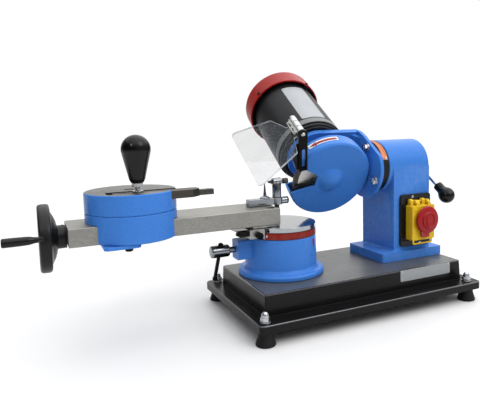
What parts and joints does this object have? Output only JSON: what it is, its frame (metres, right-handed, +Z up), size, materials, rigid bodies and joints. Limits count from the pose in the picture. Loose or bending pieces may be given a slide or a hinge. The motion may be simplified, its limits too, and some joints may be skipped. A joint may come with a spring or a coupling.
{
  "type": "saw blade tooth grinder",
  "caption": "Bench grinder for the carbide teeth of circular saw blades: swivelling blade arm with screw feed and tooth stop, tilting motor head with guarded dish wheel, clear shield.",
  "frame": {"origin": "centre of the front-left foot's underside, on the bench", "axes": "+X along the base from the swivel seat to the motor column, +Y from the operator's side to the rear, +Z up"},
  "size_m": [0.7004, 0.3794, 0.3961],
  "materials": {
    "black_paint": "semi-gloss black paint, satin on the flat top",
    "blue_paint": "smooth gloss blue machine paint",
    "rubber": "matt black moulded rubber",
    "zinc": "bright zinc plating",
    "chrome": "polished chrome plating",
    "steel": "ground bare steel, slightly dulled",
    "dark_steel": "dark machined steel",
    "black_oxide": "black oxide",
    "black_plastic": "smooth black moulded plastic",
    "red_plastic": "glossy red plastic",
    "scale_red": "red printed scale band",
    "yellow_plastic": "yellow moulded plastic",
    "green_plastic": "green moulded plastic",
    "red_paint": "glossy red paint",
    "clear_plastic": "clear plastic sheet",
    "brass": "plain brass",
    "copper": "enamelled copper and core plates",
    "wheel_grey": "grey pressed wheel body with a bright ground face"
  },
  "bodies": {
    "base": {"base_housing": "black_paint", "foot_front_left": "rubber", "foot_front_right": "rubber", "foot_rear_left": "rubber", "foot_rear_right": "rubber", "foot_bolt_front_left": "zinc", "foot_bolt_front_right": "zinc", "foot_bolt_rear_left": "zinc", "foot_bolt_rear_right": "zinc", "cord_gland": "black_plastic", "swivel_seat": "blue_paint", "column": "blue_paint", "switch_box": "black_plastic", "switch_frame": "yellow_plastic"},
    "seat_clamp": {"seat_clamp_screw": "chrome"},
    "tommy_bar": {"clamp_tommy_bar": "black_oxide"},
    "table": {"swivel_table": "chrome", "swivel_scale": "scale_red", "swivel_bolt": "zinc", "slide_guide": "steel"},
    "guide_lock": {"guide_lock_screw": "black_oxide"},
    "carriage": {"feed_carriage": "steel", "arm_bar": "steel"},
    "feed_wheel": {"handwheel": "black_plastic", "lead_screw": "steel"},
    "crank_grip": {"handwheel_grip": "black_plastic"},
    "saddle": {"blade_saddle": "blue_paint", "saddle_keeper": "blue_paint", "feed_nut": "brass", "keeper_bolt_front": "zinc", "keeper_bolt_rear": "zinc"},
    "blade_rest": {"blade_disc": "blue_paint", "clamp_stud": "zinc"},
    "index": {"index_bar": "dark_steel"},
    "blade_clamp": {"clamp_grip": "black_plastic"},
    "stop_slide": {"stop_bar": "chrome"},
    "stop_lift": {"stop_post": "chrome"},
    "stop_pin": {"tooth_stop": "dark_steel"},
    "head": {"head_bracket": "blue_paint", "tilt_ring": "black_paint", "flange_bolt_1": "zinc", "flange_bolt_2": "zinc", "flange_bolt_3": "zinc", "tilt_shaft": "steel", "guard_cover": "blue_paint", "motor_shell": "black_paint", "motor_stator": "copper", "fan_cover": "red_paint", "shield_bracket": "black_oxide"},
    "rotor": {"motor_rotor": "steel", "grinding_wheel": "wheel_grey", "wheel_nut": "zinc"},
    "eye_shield": {"shield_hinge": "zinc", "shield": "clear_plastic"},
    "tilt_clamp": {"clamp_lever": "zinc", "lever_ball": "black_plastic"},
    "lid": {"switch_lid": "yellow_plastic"},
    "mushroom": {"stop_mushroom": "red_plastic"},
    "start": {"start_button": "green_plastic"},
    "stop": {"stop_button": "red_plastic"}
  },
  "joints": [
    {"name": "seat_clamp_turn", "type": "hinge", "parent": "base", "child": "seat_clamp", "pos_m": [-0.0215, 0.1141, 0.1065], "axis": [1, 0, 0], "range_deg": [-90, 60]},
    {"name": "tommy_bar_slide", "type": "slide", "parent": "seat_clamp", "child": "tommy_bar", "axis": [0, -0.4706, 0.8823], "range_m": [0, 0.02]},
    {"name": "table_swivel", "type": "hinge", "parent": "base", "child": "table", "pos_m": [0.0814, 0.1141, 0.13], "axis": [0, 0, 1], "range_deg": [-12, 12]},
    {"name": "guide_lock_turn", "type": "hinge", "parent": "table", "child": "guide_lock", "pos_m": [0.0255, 0.0675, 0.1334], "axis": [0, 1, 0], "range_deg": [-180, 180]},
    {"name": "cross_slide", "type": "slide", "parent": "table", "child": "carriage", "axis": [0, 1, 0], "range_m": [-0.012, 0.012]},
    {"name": "handwheel_spin", "type": "hinge", "parent": "carriage", "child": "feed_wheel", "pos_m": [-0.2525, 0.1141, 0.1548], "axis": [1, 0, 0], "range_deg": [-2401, 7201]},
    {"name": "crank_grip_spin", "type": "hinge", "parent": "feed_wheel", "child": "crank_grip", "pos_m": [-0.2825, 0.0757, 0.16161], "axis": [1, 0, 0], "continuous": true},
    {"name": "saddle_slide", "type": "slide", "parent": "carriage", "child": "saddle", "axis": [1, 0, 0], "range_m": [-0.02, 0.06]},
    {"name": "blade_rest_swivel", "type": "hinge", "parent": "saddle", "child": "blade_rest", "pos_m": [-0.1486, 0.1141, 0.19], "axis": [0, 0, 1], "range_deg": [-20, 20]},
    {"name": "index_slide", "type": "slide", "parent": "blade_rest", "child": "index", "axis": [1, 0, 0], "range_m": [-0.008, 0.02]},
    {"name": "blade_clamp_turn", "type": "hinge", "parent": "blade_rest", "child": "blade_clamp", "pos_m": [-0.1447, 0.083, 0.25], "axis": [0, 0, 1], "range_deg": [-180, 180]},
    {"name": "stop_bar_slide", "type": "slide", "parent": "carriage", "child": "stop_slide", "axis": [1, 0, 0], "range_m": [-0.005, 0.003]},
    {"name": "stop_post_lift", "type": "slide", "parent": "stop_slide", "child": "stop_lift", "axis": [0, 0, 1], "range_m": [0, 0.008]},
    {"name": "stop_pin_slide", "type": "slide", "parent": "stop_lift", "child": "stop_pin", "axis": [1, 0, 0], "range_m": [-0.003, 0.003]},
    {"name": "head_tilt", "type": "hinge", "parent": "base", "child": "head", "pos_m": [0.2175, 0.1141, 0.2198], "axis": [1, 0, 0], "range_deg": [-30, 20]},
    {"name": "wheel_spin", "type": "hinge", "parent": "head", "child": "rotor", "pos_m": [0.1691, 0.1018, 0.20285], "axis": [0.0787, 0.8592, 0.5056], "continuous": true},
    {"name": "shield_flip", "type": "hinge", "parent": "head", "child": "eye_shield", "pos_m": [0.09474, 0.06185, 0.28231], "axis": [0.0787, 0.8592, 0.5056], "range_deg": [-8, 90]},
    {"name": "tilt_clamp_turn", "type": "hinge", "parent": "base", "child": "tilt_clamp", "pos_m": [0.3575, 0.1141, 0.2198], "axis": [1, 0, 0], "range_deg": [-40, 60]},
    {"name": "lid_flip", "type": "hinge", "parent": "base", "child": "lid", "pos_m": [0.3175, 0.061, 0.161], "axis": [1, 0, 0], "range_deg": [-95, 0]},
    {"name": "mushroom_press", "type": "slide", "parent": "lid", "child": "mushroom", "axis": [0, 1, 0], "range_m": [0, 0.003], "stiffness_N_per_m": 300},
    {"name": "start_press", "type": "slide", "parent": "base", "child": "start", "axis": [0, 1, 0], "range_m": [0, 0.0025], "stiffness_N_per_m": 300},
    {"name": "stop_press", "type": "slide", "parent": "base", "child": "stop", "axis": [0, 1, 0], "range_m": [0, 0.0022], "stiffness_N_per_m": 300}
  ],
  "couplings": [
    {"joint": "handwheel_spin", "follows": "saddle_slide", "rad_per_m": 2094.4}
  ]
}
